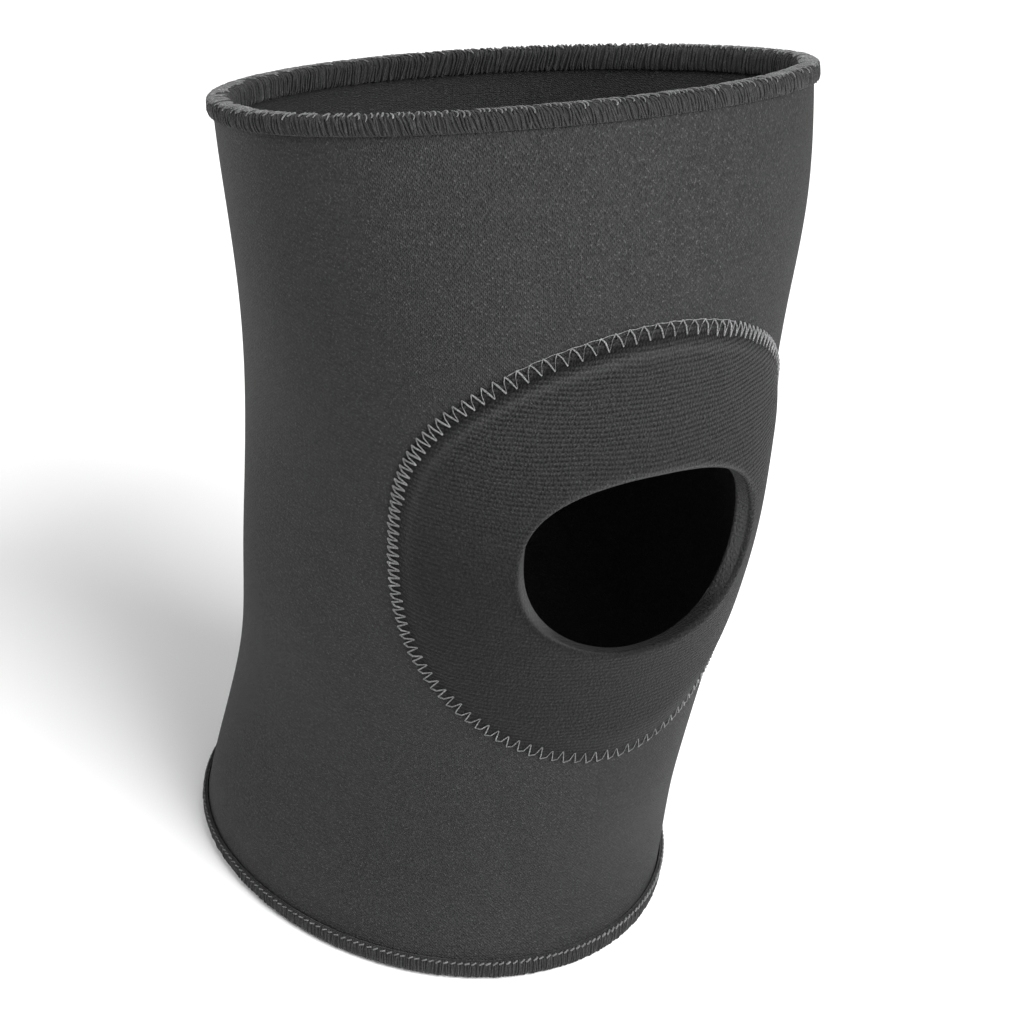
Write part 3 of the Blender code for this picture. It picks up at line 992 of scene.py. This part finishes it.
def zigzag_strand(stitching, pad, jitter):
    """The one closed thread of the zigzag: out past the edge, in onto the pad and back at each stitch."""
    turns = zigzag_turns(stitching.zigzag_pitch)
    radius = stitching.ring_thread / 2
    following = np.append(turns[1:], turns[0] + 2 * math.pi)
    places = []
    for turn, after in zip(turns, following):
        step = after - turn
        out = 1.0 + jitter.uniform(-0.12, 0.12)
        reach = 1.0 + jitter.uniform(-0.12, 0.12)
        lean = jitter.uniform(0.36, 0.50)
        thick = float(stitch_value(turn, "thick")) * jitter.uniform(0.85, 1.1)
        back = thick * float(stitch_value(turn, "back"))
        places += [(turn - 0.03 * step, -out, 0.3, thick), (turn + 0.03 * step, -out, 0.3, thick),
                   (turn + 0.5 * lean * step, 0.0, 1.0, thick), (turn + lean * step, reach, 0.3, thick),
                   (turn + (lean + 0.06) * step, reach, 0.1, back),
                   (turn + (1 + lean) / 2 * step, 0.0, back / thick * 1.4 - 0.4, back)]
    turn, side, height, thickness = np.array(places).T
    share = np.maximum(side, 0.0) * ZIGZAG_IN / RING_WIDTH
    lift = np.where(side > 0, pad_lift(pad, share), radius * 0.6)
    lift = np.where(side == 0.0, GAP + pad.edge * 1.2, lift) + radius * (height - 0.1)
    across, up = ring_place(turn, share)
    outer = oval(turn, RING_HALF_WIDTH + ZIGZAG_OUT, RING_HALF_HEIGHT + ZIGZAG_OUT, RING_SQUARENESS)
    past = np.maximum(-side, 0.0)
    points = face_points(across + past * (outer[0] - across), up + past * (outer[1] - up), lift)
    return points, thickness, True


class KNEESLEEVE_OT_zigzag(bpy.types.Operator):
    """Make the zigzag thread that sews the pad's outer edge to the sleeve"""

    bl_idname = "knee_sleeve.zigzag"
    bl_label = "Ring zigzag"

    def execute(self, context):
        stitching = context.scene.knee_sleeve_stitching
        pad = context.scene.knee_sleeve_pad
        strand = zigzag_strand(stitching, pad, np.random.RandomState(7))
        yarn = thread_material("zigzag thread", stitching.ring_shade, 0.3)
        data = strands_mesh([strand], stitching.ring_thread)
        finish_piece("ring_zigzag", data, [yarn])
        turns = np.linspace(*np.radians(EDGE_THREAD), 160)
        wander = ZIGZAG_OUT + 0.0001 * np.sin(turns * 90)
        points = face_points(*ring_place(turns, 0.0, wander), stitching.ring_thread / 2)
        data = strands_mesh([(points, np.full(len(points), 0.4), False)], stitching.ring_thread)
        finish_piece("ring_edge_thread", data, [yarn])
        return {"FINISHED"}


# Place and width of each light
KEY_PLACE = (0.28, -1.00, 1.15)
KEY_WIDTH = 1.3
RIM_PLACE = (-0.85, 0.95, 0.60)
RIM_WIDTH = 0.7


class KNEESLEEVE_OT_stage(bpy.types.Operator):
    """Make the floor, the lights, the surroundings and the camera"""

    bl_idname = "knee_sleeve.stage"
    bl_label = "Stage"

    def execute(self, context):
        stage = context.scene.knee_sleeve_stage
        mesh = bmesh.new()
        bmesh.ops.create_grid(mesh, x_segments=1, y_segments=1, size=stage.floor_size / 2)
        data = mesh_data("floor", mesh)
        data.materials.append(plain_material("floor", tuple(stage.floor_colour), 0.9))
        floor = add_object("floor", data)
        add_area_light("key", KEY_PLACE, KEY_WIDTH, stage.key_power)
        add_area_light("rim", RIM_PLACE, RIM_WIDTH, stage.rim_power)
        world = bpy.data.worlds.new("surroundings")
        world.use_nodes = True
        room = world.node_tree.nodes["Background"]
        room.inputs["Color"].default_value = (1.0, 1.0, 1.0, 1.0)
        room.inputs["Strength"].default_value = stage.world_strength
        context.scene.world = world
        context.scene.view_settings.view_transform = "Standard"
        add_camera()
        return {"FINISHED"}


def add_area_light(name, place, size, power):
    """A square soft light that faces the sleeve."""
    data = bpy.data.lights.new(name, "AREA")
    data.size = size
    data.energy = power
    light = add_object(name, data)
    light.location = place
    light.rotation_euler = (VIEW_AIM - Vector(place)).to_track_quat("-Z", "Y").to_euler()


def add_camera():
    """The camera of the photographed view."""
    azimuth, elevation, roll = (math.radians(v) for v in (VIEW_AZIMUTH, VIEW_ELEVATION, VIEW_ROLL))
    back = Vector((math.sin(azimuth) * math.cos(elevation), -math.cos(azimuth) * math.cos(elevation),
                   math.sin(elevation)))
    level = Vector((math.cos(azimuth), math.sin(azimuth), 0.0))
    upright = back.cross(level)
    right = level * math.cos(roll) + upright * math.sin(roll)
    up = upright * math.cos(roll) - level * math.sin(roll)
    data = bpy.data.cameras.new("camera")
    data.sensor_width = SENSOR_MM
    data.lens = VIEW_FOCAL_PIXELS / IMAGE_PIXELS * SENSOR_MM
    camera = add_object("camera", data)
    place = VIEW_AIM + right * VIEW_SHIFT[0] + up * VIEW_SHIFT[1] + back * VIEW_DISTANCE
    camera.matrix_world = Matrix.Translation(place) @ Matrix((right, up, back)).transposed().to_4x4()
    bpy.context.scene.camera = camera


class KNEESLEEVE_PT_panel(bpy.types.Panel):
    """Sizes and buttons of the knee sleeve"""

    bl_idname = "KNEESLEEVE_PT_panel"
    bl_label = "Knee sleeve"
    bl_space_type = "VIEW_3D"
    bl_region_type = "UI"
    bl_category = "Knee sleeve"

    def draw(self, context):
        for name in GROUPS:
            group = getattr(context.scene, name)
            for key in group.bl_rna.properties.keys():
                if key not in {"rna_type", "name"}:
                    self.layout.prop(group, key)
        for step in STEPS:
            self.layout.operator(step)


GROUPS = {
    "knee_sleeve_cloth": KneeSleeveCloth,
    "knee_sleeve_pad": KneeSleevePad,
    "knee_sleeve_stitching": KneeSleeveStitching,
    "knee_sleeve_stage": KneeSleeveStage,
}
STEPS = ("knee_sleeve.stage", "knee_sleeve.cloth", "knee_sleeve.pad", "knee_sleeve.hems",
         "knee_sleeve.overlock", "knee_sleeve.zigzag")
CLASSES = (*GROUPS.values(), KNEESLEEVE_OT_stage, KNEESLEEVE_OT_cloth, KNEESLEEVE_OT_pad,
           KNEESLEEVE_OT_hems, KNEESLEEVE_OT_overlock, KNEESLEEVE_OT_zigzag, KNEESLEEVE_PT_panel)


def register():
    for cls in CLASSES:
        bpy.utils.register_class(cls)
    for name, group in GROUPS.items():
        setattr(bpy.types.Scene, name, PointerProperty(type=group))


def unregister():
    for name in GROUPS:
        delattr(bpy.types.Scene, name)
    for cls in reversed(CLASSES):
        bpy.utils.unregister_class(cls)


def main():
    """Make every piece in order."""
    register()
    bpy.ops.knee_sleeve.stage()
    bpy.ops.knee_sleeve.cloth()
    bpy.ops.knee_sleeve.pad()
    bpy.ops.knee_sleeve.hems()
    bpy.ops.knee_sleeve.overlock()
    bpy.ops.knee_sleeve.zigzag()


if __name__ == "__main__":
    main()
